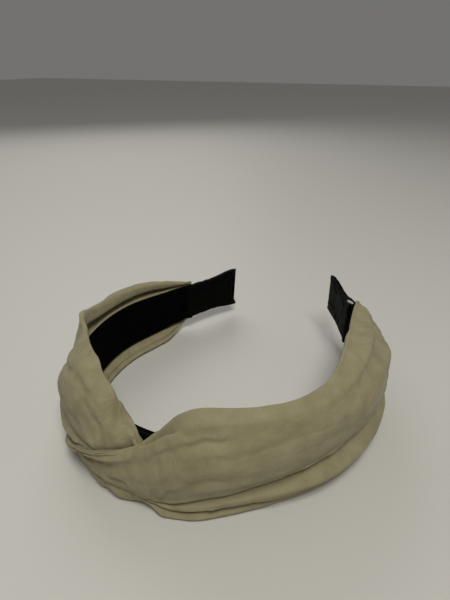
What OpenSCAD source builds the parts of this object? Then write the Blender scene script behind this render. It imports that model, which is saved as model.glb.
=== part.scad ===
// Knotted headband, lying on its lower edge with the knot towards -Y and the open ends towards +Y.
// Every piece follows one plan curve. A point on it is given by its station, in degrees from the apex
// (minus to the left, plus to the right), its offset outward from the lining's inner face, and its height.

/* [Band] */
// Half the inner width at the widest line
half_w = 63.4; // [60:0.2:67]
// Depth of the crown curve, from the widest line to the apex
crown_d = 60.6; // [57:0.2:64]
// Bend radius of each arm behind the widest line
arm_r = 400; // [300:10:600]
// Length of each arm behind the crown curve
arm_len = 67; // [62:1:70]
// Width of the ribbon lining
lining_w = 22.5; // [21:0.5:24]
// Height of the lining's lower edge above the surface it lies on
lining_z = 7.5; // [7:0.1:8.5]
// Rise of the right-hand end above the left-hand end
tip_lift = 8.8; // [6:0.2:10]
// Width of the band at its ends, as a share of its width at the knot
tip_share = 0.85; // [0.75:0.01:1]

/* [Layers] */
// Thickness of the ribbon lining
lining_t = 0.55; // [0.4:0.05:0.55]
// Thickness of the plastic band
band_t = 1.45; // [1.2:0.05:1.45]
// Thickness of the satin wrap round the plastic band
wrap_t = 0.35; // [0.3:0.05:0.4]
// Wall of the satin end sleeves
sleeve_t = 0.4; // [0.3:0.05:0.5]
// Extra width of an end sleeve at its closed end, on each edge
sleeve_flare = 2; // [0:0.1:2.8]

/* [Flexing] */
// Station of the line about which each arm springs open
hinge_at = 67; // [62:1:72]
// Furthest that an arm springs open, in degrees
open_max = 16; // [8:1:18]
// Furthest that an arm presses inward, in degrees
close_max = 4; // [0:1:5]

/* [Hidden] */

fabric_colour = "#8f8a6e";
satin_colour = "#17171a";
ribbon_colour = "#1d1d20";
plastic_colour = "#2b2b2e";
glue_colour = "#d9d4c0";

apex_a = 81 + crown_d;   // distance from the line through the two ends to the apex
centre_x = 1.14;         // moves the finished part to the middle of its box
centre_y = 75.93;
crown_end = 110;         // station where the crown curve passes into the arm
end_station = 170;       // station of the band's end
sleeve_end = 171.6;
sleeve_start = 138;
cover_end = 143;
narrow_start = 105;      // stations between which the arms narrow
narrow_end = 148;
seam_stitches = 8;       // stitches that close each end sleeve
step = 3;                // stations between two sections
gap = 0.05;              // space between layers that lie on each other
flex_gap = 0.3;          // space left at the flex lines
flex_o = 1.4;            // offset of the flex line, in the middle of the plastic band
band_o = lining_t + 2 * gap;
wrap_o = band_o + band_t + gap + wrap_t;
band_inset = wrap_t + 0.4;

// ---- plan curve ----
function sgn(u) = u < 0 ? -1 : 1;
function bend0() = atan2(-half_w * cos(crown_end), crown_d * sin(crown_end));
function arm_bend(w) = bend0() + (w - crown_end) / (end_station - crown_end) * arm_len / arm_r * 180 / PI;
function plan(w) = w <= crown_end
    ? [half_w * sin(w), apex_a - crown_d + crown_d * cos(w)]
    : [half_w * sin(crown_end) - arm_r * (cos(bend0()) - cos(arm_bend(w))),
       apex_a - crown_d + crown_d * cos(crown_end) - arm_r * (sin(arm_bend(w)) - sin(bend0()))];
function heading(w) = w <= crown_end
    ? [half_w * cos(w), -crown_d * sin(w)] / norm([half_w * cos(w), crown_d * sin(w)])
    : [-sin(arm_bend(w)), -cos(arm_bend(w))];
function rise(u) = let (t = max(0, min(1, (u - 55) / (end_station - 55)))) tip_lift * t * t * (3 - 2 * t);

// The arms narrow towards the ends, about the band's middle height
function narrow(u) = let (t = max(0, min(1, (abs(u) - narrow_start) / (narrow_end - narrow_start))))
    1 - (1 - tip_share) * t * t * (3 - 2 * t);
function middle_z(u) = lining_z + lining_w / 2 + rise(u);

// A point at station u, offset o and height z, moved along the curve by slide
function place(u, o, z, slide = 0) = let (w = abs(u), p = plan(w), h = heading(w))
    [sgn(u) * (p[0] - h[1] * o + h[0] * slide) + centre_x, centre_y - p[1] - h[0] * o - h[1] * slide,
     middle_z(u) + (z - middle_z(u)) * narrow(u)];

// How far a section at the flex line stands back, so that the arm can turn without touching the crown
function stand_back(o) = flex_gap / 2 + (o > flex_o ? (o - flex_o) * tan(open_max) : (flex_o - o) * tan(close_max));
function at_flex(u) = abs(abs(u) - hinge_at) < 0.001;
function ring(u, section, arm) = [for (p = section)
    place(u, p[0], p[1], at_flex(u) ? (arm ? stand_back(p[0]) : -flex_gap / 2) : 0)];
function stations(from, to) = let (n = max(1, ceil(abs(to - from) / step))) [for (i = [0:n]) from + (to - from) * i / n];

// ---- solids swept along the curve; each section is listed anticlockwise in offset and height ----
// and cap lists the triangles that close its ends
module skin(rings, flip, cap) {
    n = len(rings[0]);
    m = len(rings);
    sides = [for (i = [0:m - 2]) for (j = [0:n - 1]) let (k = (j + 1) % n)
        each [[i * n + j, i * n + n + j, i * n + k], [i * n + k, i * n + n + j, i * n + n + k]]];
    last = (m - 1) * n;
    faces = concat(sides, cap, [for (t = cap) [last + t[2], last + t[1], last + t[0]]]);
    polyhedron([for (r = rings) each r], flip ? [for (f = faces) [for (i = [len(f) - 1:-1:0]) f[i]]] : faces, 4);
}

// A sleeve between an outer and an inner set of sections; closed makes a pocket, shut at its last section
module sleeve(outer, inner, flip, closed) {
    n = len(outer[0]);
    m = len(outer);
    base = m * n;
    walls = [for (i = [0:m - 2]) for (j = [0:n - 1]) let (k = (j + 1) % n, a = i * n)
        each [[a + j, a + n + j, a + k], [a + k, a + n + j, a + n + k],
              [base + a + j, base + a + k, base + a + n + j], [base + a + k, base + a + n + k, base + a + n + j]]];
    mouth = [for (j = [0:n - 1]) let (k = (j + 1) % n) each [[j, k, base + j], [k, base + k, base + j]]];
    top = (m - 1) * n;
    far = [for (j = [0:n - 1]) let (k = (j + 1) % n)
        each [[top + j, base + top + j, top + k], [top + k, base + top + j, base + top + k]]];
    caps = [[for (j = [0:n - 1]) top + n - 1 - j], [for (j = [0:n - 1]) base + top + j]];
    faces = concat(walls, mouth, closed ? caps : far);
    polyhedron(concat([for (r = outer) each r], [for (r = inner) each r]),
        flip ? [for (f = faces) [for (i = [len(f) - 1:-1:0]) f[i]]] : faces, 4);
}

rect_cap = [[0, 1, 2], [0, 2, 3]];
wrap_cap = [[0, 1, 6], [0, 6, 7], [1, 2, 5], [1, 5, 6], [2, 3, 4], [2, 4, 5]];
// Two fans, from the lower and the upper lip of a C-shaped section, that meet at point mid
function lip_cap(n, mid) = concat([for (j = [1:mid - 1]) [0, j, j + 1]], [[n - 1, 0, mid]],
    [for (j = [mid:n - 3]) [n - 1, j, j + 1]]);
function rect(o0, o1, z0, z1) = [[o0, z0], [o1, z0], [o1, z1], [o0, z1]];
function lifted(section, u) = [for (p = section) [p[0], p[1] + rise(u)]];

module strip(from, to, o0, o1, inset) {
    arm = abs(to) > hinge_at + 1 || abs(from) > hinge_at + 1;
    section = rect(o0, o1, lining_z + inset, lining_z + lining_w - inset);
    skin([for (u = stations(from, to)) ring(u, lifted(section, u), arm)], to < from, rect_cap);
}

module wrap(from, to) {
    arm = abs(to) > hinge_at + 1 || abs(from) > hinge_at + 1;
    o0 = lining_t + gap;
    o1 = wrap_o;
    z0 = lining_z + 0.3;
    z1 = lining_z + lining_w - 0.3;
    section = [[o0, z0], [o1, z0], [o1, z1], [o0, z1], [o0, z1 - wrap_t],
        [o1 - wrap_t, z1 - wrap_t], [o1 - wrap_t, z0 + wrap_t], [o0, z0 + wrap_t]];
    skin([for (u = stations(from, to)) ring(u, lifted(section, u), arm)], to < from, wrap_cap);
}

// ---- pieces of the band ----
module plastic_band_crown() { color(plastic_colour) strip(-hinge_at, hinge_at, band_o, band_o + band_t, band_inset); }
module plastic_band_left() { color(plastic_colour) strip(-hinge_at, -end_station, band_o, band_o + band_t, band_inset); }
module plastic_band_right() { color(plastic_colour) strip(hinge_at, end_station, band_o, band_o + band_t, band_inset); }

module satin_wrap_crown() { color(satin_colour) wrap(-hinge_at, hinge_at); }
module satin_wrap_left() { color(satin_colour) wrap(-hinge_at, -end_station); }
module satin_wrap_right() { color(satin_colour) wrap(hinge_at, end_station); }

module ribbon_lining_crown() { color(ribbon_colour) strip(-hinge_at, hinge_at, 0, lining_t, 0); }
module ribbon_lining_left() { color(ribbon_colour) strip(-hinge_at, -end_station, 0, lining_t, 0); }
module ribbon_lining_right() { color(ribbon_colour) strip(hinge_at, end_station, 0, lining_t, 0); }

// ---- fabric covers: each row of a table is a station and a value ----
// bottom height, top height, offsets of the inner face, outer bulge, top edge, bottom inner and outer edges
left_arm_shape = [
    [[-143, 5], [-132, 1], [-122, 0]],
    [[-143, 32.5], [-135, 36.5], [-120, 40.6], [-95, 41.6], [-84, 42.6], [-67, 45.4]],
    [[-143, 3.5], [-136, 3.5], [-134, 2.9]],
    [[-143, 7], [-130, 11.5], [-115, 12.8], [-95, 12], [-67, 11]],
    [[-143, 3], [-132, 1], [-115, 1.4], [-78, 3], [-67, 2.4]],
    [[-143, 3], [-131, 0], [-120, -4], [-67, -3.5]],
    [[-143, 5], [-130, 7], [-100, 8], [-67, 7]]];
right_arm_shape = [
    [[67, 0], [112, 0], [125, 4], [143, 14.5]],
    [[67, 48], [98, 46.5], [120, 43.5], [143, 41.8]],
    [[134, 2.9], [136, 3.5], [143, 3.5]],
    [[67, 8.8], [90, 9], [100, 10.6], [113, 13.2], [128, 13], [143, 9]],
    [[67, -3.5], [75, -6], [98, -9], [111, -6.5], [120, -4], [137, 2.6], [143, 2.8]],
    [[67, -3.5], [100, -3], [125, 0], [135, 3.4], [143, 3.5]],
    [[67, 0.8], [85, 1.5], [95, 4.5], [109, 7.5], [143, 6]]];
left_knot_shape = [
    [[-67, 0], [4, 0]],
    [[-67, 45.4], [-45, 46.3], [-17, 45], [-9, 31], [-5, 22], [-2, 9.4], [4, 8]],
    [[-67, 2.9], [4, 2.9]],
    [[-67, 11], [-45, 13.4], [-28, 13], [-17, 11.5], [-12, 9], [-8, 5.4], [4, 5.4]],
    [[-67, 2.4], [-45, 2.4], [-16, 1.2], [-12, 1.4], [-9, 3], [4, 3.2]],
    [[-67, -3.5], [-20, -3], [4, 3]],
    [[-67, 7], [-45, 8], [-14, 9.4], [-1, 7], [4, 6.4]]];
// Groove in the left half where the right half's ply crosses it: lower edge, upper edge, offset of the
// groove's floor, and offset of the lobe below it
groove_shape = [
    [[-67, 16], [-37, 4.4], [-14, 9.4], [4, 9.4]],
    [[-67, 19], [-37, 18.4], [-13, 24], [-5, 24.4]],
    [[-67, 11], [-45, 13.4], [-40, 13.3], [-37.6, 9.1], [-10, 9.1], [-3, 4.9], [4, 4.6]],
    [[-67, 10.4], [-45, 12.6], [-14, 11.6], [4, 8]]];
right_knot_shape = [
    [[-36, 5], [-14, 9.9], [4, 9.9], [9, 0], [67, 0]],
    [[-36, 18], [-13, 23.5], [-5, 24], [2, 29], [9, 36], [17, 46], [23, 48], [67, 48]],
    [[-36, 9.6], [-10, 9.6], [-3, 5.4], [4, 2.9], [67, 2.9]],
    [[-36, 13.6], [-13, 14], [6, 13], [20, 11.5], [45, 9.6], [67, 8.8]],
    [[-36, 11], [-13, 11.4], [-5, 6], [2, 2.9], [9, 2], [17, 1], [31, 2.2], [46, 1.7], [60, -1.5], [67, -3.5]],
    [[-36, 10], [-10, 10], [4, 3], [8, 3], [14, -2.5], [67, -3.5]],
    [[-36, 12], [-9, 12.4], [4, 10.6], [17, 8.6], [24, 6], [33, 3], [45, 2], [67, 0.8]]];

function lip_low(u, zb, zt) = min(zb + (zt - zb) * 0.3, max(zb + 1, lining_z - 0.9 + rise(u)));
function lip_high(u, zb, zt) = max(zb + (zt - zb) * 0.6, min(zt - 1.6, lining_z + lining_w + 1 + rise(u)));
function cover_section(u, t) = let (
        zb = lookup(u, t[0]), zt = lookup(u, t[1]), oi = lookup(u, t[2]), oo = lookup(u, t[3]),
        ot = lookup(u, t[4]), ob = lookup(u, t[5]), oe = lookup(u, t[6]), h = zt - zb)
    [[oi, lip_low(u, zb, zt)], [ob, zb + h * 0.05], [ob + 0.5, zb], [oe, zb], [(oe + 2 * oo) / 3, zb + h * 0.16],
     [oo, zb + h * 0.42], [oo - 0.12 * (oo - oi), zb + h * 0.68], [(oo + 2 * ot) / 3 + 1, zb + h * 0.93],
     [ot + 1.8, zt], [ot + 0.8, zt], [ot, zt - h * 0.04], [oi, lip_high(u, zb, zt)]];

function grooved_section(u) = let (
        t = left_knot_shape, zt = lookup(u, t[1]), oi = lookup(u, t[2]), oo = lookup(u, t[3]), ot = lookup(u, t[4]),
        ob = lookup(u, t[5]), oe = lookup(u, t[6]), z0 = min(lookup(u, groove_shape[0]), zt - 1.4),
        z1 = max(z0 + 0.4, min(lookup(u, groove_shape[1]), zt - 0.9)), og = lookup(u, groove_shape[2]),
        lobe = lookup(u, groove_shape[3]), oc = z1 < lookup(u, groove_shape[1]) ? min(oo, og) : oo)
    [[oi, lip_low(u, 0, zt)], [ob, zt * 0.05], [ob + 0.5, 0], [oe, 0], [lobe, z0 * 0.45], [lobe - 0.1, z0],
     [min(og, lobe - 0.2), z0], [og, z1], [oc, z1], [(5 * oc + ot) / 6, z1 + (zt - z1) * 0.55],
     [(oc + 2 * ot) / 3 + 0.6, z1 + (zt - z1) * 0.9], [ot + 1, zt], [ot + 0.6, zt], [ot, zt - zt * 0.04],
     [oi, lip_high(u, 0, zt)]];

module cover(from, to, shape) {
    arm = abs(from) > hinge_at + 1 || abs(to) > hinge_at + 1;
    skin([for (u = stations(from, to)) ring(u, cover_section(u, shape), arm)], to < from, lip_cap(12, 6));
}

module left_cover_arm() { color(fabric_colour) cover(-hinge_at, -cover_end, left_arm_shape); }
module right_cover_arm() { color(fabric_colour) cover(hinge_at, cover_end, right_arm_shape); }
module left_cover_knot_half() {
    color(fabric_colour)
        skin([for (u = stations(-hinge_at, 4)) ring(u, grooved_section(u), false)], false, lip_cap(15, 7));
}
module right_cover_knot_half() { color(fabric_colour) cover(-36, hinge_at, right_knot_shape); }

// ---- end sleeves, stitches, threads and glue ----
function sleeve_section(u, wall) = let (
        t = max(0, (abs(u) - 150) / (sleeve_end - 150)), f = sleeve_flare * t * t,
        o0 = -gap - wall, o1 = wrap_o + gap + wall,
        z0 = lining_z - gap - wall - f + rise(u), z1 = lining_z + lining_w + gap + wall + f + rise(u))
    rect(o0, o1, z0, z1);

module end_sleeve(side) {
    u0 = side * sleeve_start;
    u1 = side * sleeve_end;
    u2 = side * (end_station + 0.3);
    n = len(stations(u0, u1)) - 1;
    outer = [for (i = [0:n]) let (u = u0 + (u1 - u0) * i / n) ring(u, sleeve_section(u, sleeve_t), true)];
    inner = [for (i = [0:n]) let (u = u0 + (u2 - u0) * i / n) ring(u, sleeve_section(u, 0), true)];
    sleeve(outer, inner, side < 0, true);
}

// A row of short stitches across the outer face, just in from the sleeve's closed end
module sleeve_seam(side) {
    u = side * (sleeve_end - 1.6);
    pitch = (lining_w - 1) / (seam_stitches - 1);
    for (i = [0:seam_stitches - 1])
        translate(place(u, wrap_o + gap + sleeve_t + 0.22, lining_z + 0.5 + i * pitch + rise(u)))
            cylinder(h = 1.9, d = 0.4, center = true, $fn = 24);
}

module band_tie(from, to, low, high, thick) {
    section_in = rect(-low, high, lining_z - low, lining_z + lining_w + low);
    section_out = rect(-low - thick, high + thick, lining_z - low - thick, lining_z + lining_w + low + thick);
    outer = [for (u = stations(from, to)) ring(u, lifted(section_out, u), true)];
    inner = [for (u = stations(from, to)) ring(u, lifted(section_in, u), true)];
    sleeve(outer, inner, to < from, false);
}

module pad(from, to, o0, o1, z0, z1) {
    skin([for (u = stations(from, to)) ring(u, lifted(rect(o0, o1, z0, z1), u), true)], to < from, rect_cap);
}

module left_end_sleeve() { color(satin_colour) end_sleeve(-1); }
module right_end_sleeve() { color(satin_colour) end_sleeve(1); }
module left_sleeve_seam() { color(satin_colour) sleeve_seam(-1); }
module right_sleeve_seam() { color(satin_colour) sleeve_seam(1); }
module left_gather_thread() { color(satin_colour) band_tie(-139, -141, sleeve_t + 2 * gap, wrap_o + sleeve_t + 2 * gap, 0.2); }
module right_gather_thread() { color(satin_colour) band_tie(139, 141, sleeve_t + 2 * gap, wrap_o + sleeve_t + 2 * gap, 0.2); }
module knot_tie_thread() { color(satin_colour) band_tie(11, 12.4, gap, wrap_o + gap, 0.2); }
module left_glue_pad() { color(glue_colour) pad(-126, -134, wrap_o + gap, 2.85, 12, 25); }
module right_glue_pad() { color(glue_colour) pad(126, 134, wrap_o + gap, 2.85, 12, 25); }
module knot_glue_pad() { color(glue_colour) pad(-22, -12, wrap_o + gap, 2.85, 11, 26); }

plastic_band_crown();
plastic_band_left();
plastic_band_right();
satin_wrap_crown();
satin_wrap_left();
satin_wrap_right();
ribbon_lining_crown();
ribbon_lining_left();
ribbon_lining_right();
left_cover_knot_half();
left_cover_arm();
right_cover_knot_half();
right_cover_arm();
left_end_sleeve();
right_end_sleeve();
left_sleeve_seam();
right_sleeve_seam();
left_gather_thread();
right_gather_thread();
knot_tie_thread();
left_glue_pad();
right_glue_pad();
knot_glue_pad();
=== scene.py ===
import math

import bmesh
import bpy
import numpy as np
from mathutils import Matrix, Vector


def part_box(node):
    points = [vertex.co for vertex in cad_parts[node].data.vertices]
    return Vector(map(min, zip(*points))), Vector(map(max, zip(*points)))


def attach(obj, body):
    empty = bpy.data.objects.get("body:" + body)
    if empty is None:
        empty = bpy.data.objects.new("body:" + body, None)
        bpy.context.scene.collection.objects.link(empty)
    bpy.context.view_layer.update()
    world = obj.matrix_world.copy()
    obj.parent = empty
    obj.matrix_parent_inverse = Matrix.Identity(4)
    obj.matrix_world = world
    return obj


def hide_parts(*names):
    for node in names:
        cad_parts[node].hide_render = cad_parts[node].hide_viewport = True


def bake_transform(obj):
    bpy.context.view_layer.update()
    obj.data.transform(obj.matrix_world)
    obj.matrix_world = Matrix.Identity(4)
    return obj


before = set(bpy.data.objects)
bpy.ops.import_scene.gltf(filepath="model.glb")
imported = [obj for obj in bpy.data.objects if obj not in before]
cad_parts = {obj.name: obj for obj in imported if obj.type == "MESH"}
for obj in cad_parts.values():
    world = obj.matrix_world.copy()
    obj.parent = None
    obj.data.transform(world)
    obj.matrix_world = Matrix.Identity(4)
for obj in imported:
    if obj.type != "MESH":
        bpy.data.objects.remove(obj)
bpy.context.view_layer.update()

MM = 0.001

# ---------------------------------------------------------------------------------------------
# Sizes in millimetres, from the CAD frame where it has them
# ---------------------------------------------------------------------------------------------


def node_box(*names):
    """The box round some CAD nodes, in millimetres: (lowest corner, highest corner)."""
    boxes = [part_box(name) for name in names]
    low = np.min([np.array(box[0]) for box in boxes], axis=0) / MM
    high = np.max([np.array(box[1]) for box in boxes], axis=0) / MM
    return low, high


LINING_T = 0.55                 # thickness of the ribbon lining
CROWN_DEPTH = 60.6              # from the widest line of the band to its apex
CROWN_END = 110.0               # station, in degrees, where the crown curve passes into the arm
END_STATION = 170.0             # station of the band's end
SLEEVE_START = 138.0            # station of the end sleeves' open ends, under the cover
SLEEVE_END = 171.6              # station of the end sleeves' closed ends
COVER_END = 143.2               # station where each half of the cover ends
ARM_RADIUS = 400.0              # bend radius of the arms
ARM_LENGTH = 67.0               # length of each arm behind the crown curve
MM_PER_STATION = ARM_LENGTH / (END_STATION - CROWN_END)   # on the arms
TIP_LIFT = 8.8                  # the right-hand end stands this much higher than the left-hand one
LIFT_START = 55.0               # station where that rise begins
TIP_SHARE = 0.85                # width of the band at its ends, as a share of its width at the knot
NARROW_START, NARROW_END = 105.0, 148.0   # stations between which the band narrows

lining_low, lining_high = node_box("ribbon_lining_left", "ribbon_lining_crown", "ribbon_lining_right")
left_low, left_high = node_box("ribbon_lining_left")
CENTRE_X = (lining_low[0] + lining_high[0]) / 2
HALF_WIDTH = (lining_high[0] - lining_low[0]) / 2 - LINING_T
APEX_Y = lining_low[1] + LINING_T
LINING_Z0, LINING_Z1 = left_low[2], left_high[2]
LINING_MIDDLE = (LINING_Z0 + LINING_Z1) / 2


def ease(t):
    """A smooth step from 0 to 1 as t goes from 0 to 1."""
    t = np.clip(t, 0, 1)
    return t * t * (3 - 2 * t)


def mix(a, b, share):
    return a + (b - a) * share


def hermite(t, a, b, slope_a, slope_b):
    """Goes from a to b as t goes from 0 to 1, with the given slopes at both."""
    return ((1 + 2 * t) * (1 - t) ** 2 * a + t * (1 - t) ** 2 * slope_a
            + t * t * (3 - 2 * t) * b + t * t * (t - 1) * slope_b)


def table(u, points):
    """A smooth curve through (station, value) points that never overshoots them."""
    x, y = np.array(points, float).T
    u = np.clip(np.asarray(u, float), x[0], x[-1])
    gap = np.diff(x)
    rate = np.diff(y) / gap
    slope = np.concatenate([rate[:1], np.zeros(len(x) - 2), rate[-1:]])
    for i in range(1, len(x) - 1):
        if rate[i - 1] * rate[i] > 0:
            before, after = 2 * gap[i] + gap[i - 1], gap[i] + 2 * gap[i - 1]
            slope[i] = (before + after) / (before / rate[i - 1] + after / rate[i])
    k = np.clip(np.searchsorted(x, u, side="right") - 1, 0, len(gap) - 1)
    return hermite((u - x[k]) / gap[k], y[k], y[k + 1], gap[k] * slope[k], gap[k] * slope[k + 1])


# ---------------------------------------------------------------------------------------------
# The plan curve that every piece follows: a station in degrees from the apex, an offset outward
# from the lining's inner face, and a height, all as in the CAD model
# ---------------------------------------------------------------------------------------------

# Angle by which the curve has turned past the widest line where it passes into an arm
ARM_BEND = math.atan2(-HALF_WIDTH * math.cos(math.radians(CROWN_END)),
                      CROWN_DEPTH * math.sin(math.radians(CROWN_END)))


def plan(u):
    """Points on the lining's inner face and the outward normals, both (x, y) in millimetres."""
    u = np.asarray(u, float)
    side = np.where(u < 0, -1.0, 1.0)
    w = np.abs(u)
    crown = np.radians(np.minimum(w, CROWN_END))
    x, y = HALF_WIDTH * np.sin(crown), CROWN_DEPTH * (1 - np.cos(crown))
    tx, ty = HALF_WIDTH * np.cos(crown), CROWN_DEPTH * np.sin(crown)
    size = np.hypot(tx, ty)
    tx, ty = tx / size, ty / size
    bend = ARM_BEND + np.maximum(w - CROWN_END, 0) / (END_STATION - CROWN_END) * ARM_LENGTH / ARM_RADIUS
    on_arm = w > CROWN_END
    x = np.where(on_arm, x - ARM_RADIUS * (math.cos(ARM_BEND) - np.cos(bend)), x)
    y = np.where(on_arm, y + ARM_RADIUS * (np.sin(bend) - math.sin(ARM_BEND)), y)
    tx, ty = np.where(on_arm, -np.sin(bend), tx), np.where(on_arm, np.cos(bend), ty)
    point = np.stack([side * x + CENTRE_X, y + APEX_Y], -1)
    normal = np.stack([side * ty, -tx], -1)
    return point, normal


def place(u, o, z):
    """Points in metres, in the frame, at stations u, offsets o and heights z."""
    u, o, z = np.broadcast_arrays(np.asarray(u, float), np.asarray(o, float), np.asarray(z, float))
    point, normal = plan(u)
    return np.concatenate([point + normal * o[..., None], z[..., None]], -1) * MM


def rise(u):
    """How much higher the band lies at station u than at the knot."""
    return TIP_LIFT * ease((np.asarray(u, float) - LIFT_START) / (END_STATION - LIFT_START))


def narrow(u):
    """Width of the band at station u, as a share of its width at the knot."""
    return 1 - (1 - TIP_SHARE) * ease((np.abs(u) - NARROW_START) / (NARROW_END - NARROW_START))


def band_z(u, z):
    """Height at station u of what lies at height z on the band at the knot."""
    return LINING_MIDDLE + rise(u) + (z - LINING_MIDDLE) * narrow(u)


# ---------------------------------------------------------------------------------------------
# Meshes
# ---------------------------------------------------------------------------------------------


def soft_noise(x, y, seed):
    """Smooth noise of about -1 to 1 over a plane, one lump to a unit, the same on each run."""
    size = 64
    lattice = np.random.default_rng(seed).uniform(-1, 1, (size, size))
    ix, iy = np.floor(x).astype(int), np.floor(y).astype(int)
    fx, fy = ease(x - ix), ease(y - iy)
    x0, y0, x1, y1 = ix % size, iy % size, (ix + 1) % size, (iy + 1) % size
    near = lattice[x0, y0] * (1 - fx) + lattice[x1, y0] * fx
    far = lattice[x0, y1] * (1 - fx) + lattice[x1, y1] * fx
    return near * (1 - fy) + far * fy


def spline(control, spacing):
    """Refines a grid (stations, points, 2) across its points, to columns about spacing millimetres apart.

    Also returns where each refined column lies among the control points.
    """
    tight = 0.40                 # slope at a point, as a share of the step between its neighbours
    fewest, most = 4, 26         # columns between two control points
    slope = np.zeros_like(control)
    slope[:, 1:-1] = (control[:, 2:] - control[:, :-2]) * tight
    slope[:, 0] = (control[:, 1] - control[:, 0]) * tight
    slope[:, -1] = (control[:, -1] - control[:, -2]) * tight
    spans = np.percentile(np.linalg.norm(np.diff(control, axis=1), axis=-1), 80, axis=0)
    rows, columns = [], []
    for i, span in enumerate(spans):
        count = int(np.clip(math.ceil(span / spacing), fewest, most))
        last = i == len(spans) - 1
        for t in np.linspace(0, 1, count + 1)[: count + 1 if last else count]:
            columns.append(i + t)
            rows.append(hermite(t, control[:, i], control[:, i + 1], slope[:, i], slope[:, i + 1]))
    return np.stack(rows, 1), np.array(columns)


def grid_normals(grid):
    """Unit normals at the points of a grid."""
    du, dv = np.gradient(grid, axis=0), np.gradient(grid, axis=1)
    n = np.cross(du, dv)
    return n / np.maximum(np.linalg.norm(n, axis=-1, keepdims=True), 1e-12)


def lengths(grid):
    """Length along both directions of a grid, in millimetres, as the cloth's own coordinates."""
    along = np.linalg.norm(np.diff(grid, axis=0), axis=-1).mean(1) / MM
    across = np.linalg.norm(np.diff(grid, axis=1), axis=-1) / MM
    s = np.concatenate([[0], np.cumsum(along)])[:, None] * np.ones((1, grid.shape[1]))
    t = np.concatenate([np.zeros((grid.shape[0], 1)), np.cumsum(across, 1)], 1)
    return s, t


def new_object(name, vertices, faces, look):
    """A smooth-shaded mesh object in the scene."""
    mesh = bpy.data.meshes.new(name)
    mesh.from_pydata([tuple(v) for v in vertices], [], faces)
    mesh.materials.append(look)
    mesh.polygons.foreach_set("use_smooth", [True] * len(mesh.polygons))
    mesh.update()
    obj = bpy.data.objects.new(name, mesh)
    bpy.context.scene.collection.objects.link(obj)
    return obj


def add_cloth_coordinates(obj, s, t):
    """Stores the cloth's own coordinates, in millimetres, for the weave."""
    attribute = obj.data.attributes.new("cloth", "FLOAT_VECTOR", "POINT")
    values = np.stack([s.ravel(), t.ravel(), np.zeros(s.size)], -1)
    attribute.data.foreach_set("vector", values.astype(np.float32).ravel())


def cloth_sheet(name, grid, thickness, look):
    """A closed sheet of cloth: grid is its outer face, and its back lies thickness behind that."""
    rows, columns = grid.shape[:2]
    back = grid - grid_normals(grid) * thickness * MM
    n = rows * columns
    faces = []
    for i in range(rows - 1):
        for j in range(columns - 1):
            a = i * columns + j
            b = a + columns
            faces.append((a, b, b + 1, a + 1))
            faces.append((n + a + 1, n + b + 1, n + b, n + a))
    for i in range(rows - 1):
        a = i * columns
        b = a + columns
        faces.append((b, a, n + a, n + b))
        a, b = a + columns - 1, b + columns - 1
        faces.append((a, b, n + b, n + a))
    for j in range(columns - 1):
        faces.append((j, j + 1, n + j + 1, n + j))
        a = (rows - 1) * columns + j
        faces.append((a + 1, a, n + a, n + a + 1))
    obj = new_object(name, np.concatenate([grid.reshape(-1, 3), back.reshape(-1, 3)]), faces, look)
    s, t = lengths(grid)
    add_cloth_coordinates(obj, np.concatenate([s, s]), np.concatenate([t, t]))
    return obj


def tube_faces(rows, columns, first=0):
    """Faces of a closed solid through rings of points that are numbered from first."""
    faces = []
    for i in range(rows - 1):
        for j in range(columns):
            a = first + i * columns + j
            b = first + i * columns + (j + 1) % columns
            faces.append((a, b, b + columns, a + columns))
    faces.append(tuple(first + j for j in reversed(range(columns))))
    faces.append(tuple(first + (rows - 1) * columns + j for j in range(columns)))
    return faces


def tube(name, rings, look):
    """A closed solid through rings of points (rings, points, 3)."""
    return outward(new_object(name, rings.reshape(-1, 3), tube_faces(*rings.shape[:2]), look))


def outward(obj):
    """Turns the mesh's faces outward."""
    mesh = bmesh.new()
    mesh.from_mesh(obj.data)
    bmesh.ops.recalc_face_normals(mesh, faces=mesh.faces)
    mesh.to_mesh(obj.data)
    mesh.free()
    return obj


# ---------------------------------------------------------------------------------------------
# Materials
# ---------------------------------------------------------------------------------------------


def material(name, colour, roughness, build=None, **shader):
    """A procedural material; build(nodes, links, bsdf) adds its texture."""
    look = bpy.data.materials.new(name)
    look.use_nodes = True
    nodes, links = look.node_tree.nodes, look.node_tree.links
    bsdf = nodes["Principled BSDF"]
    bsdf.inputs["Base Color"].default_value = (*colour, 1)
    bsdf.inputs["Roughness"].default_value = roughness
    for key, value in shader.items():
        bsdf.inputs[key.replace("_", " ")].default_value = value
    if build:
        build(nodes, links, bsdf)
    return look


def math_node(nodes, links, operation, a, b=None):
    """Output of a math node; a and b are numbers or sockets."""
    node = nodes.new("ShaderNodeMath")
    node.operation = operation
    for socket, value in zip(node.inputs, (a, b)):
        if value is None:
            continue
        if isinstance(value, (int, float)):
            socket.default_value = value
        else:
            links.new(value, socket)
    return node.outputs[0]


def cloth_vector(nodes):
    """The cloth's own coordinates, in millimetres."""
    attribute = nodes.new("ShaderNodeAttribute")
    attribute.attribute_name = "cloth"
    return attribute.outputs["Vector"]


def object_vector(nodes):
    """The object's coordinates, in metres."""
    return nodes.new("ShaderNodeTexCoord").outputs["Object"]


def noise_factor(nodes, links, vector, scale, detail=4.0, roughness=0.55):
    """Noise of 0 to 1, with about scale lumps to a unit of vector."""
    noise = nodes.new("ShaderNodeTexNoise")
    noise.inputs["Scale"].default_value = scale
    noise.inputs["Detail"].default_value = detail
    noise.inputs["Roughness"].default_value = roughness
    links.new(vector, noise.inputs["Vector"])
    return noise.outputs["Fac"]


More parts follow.
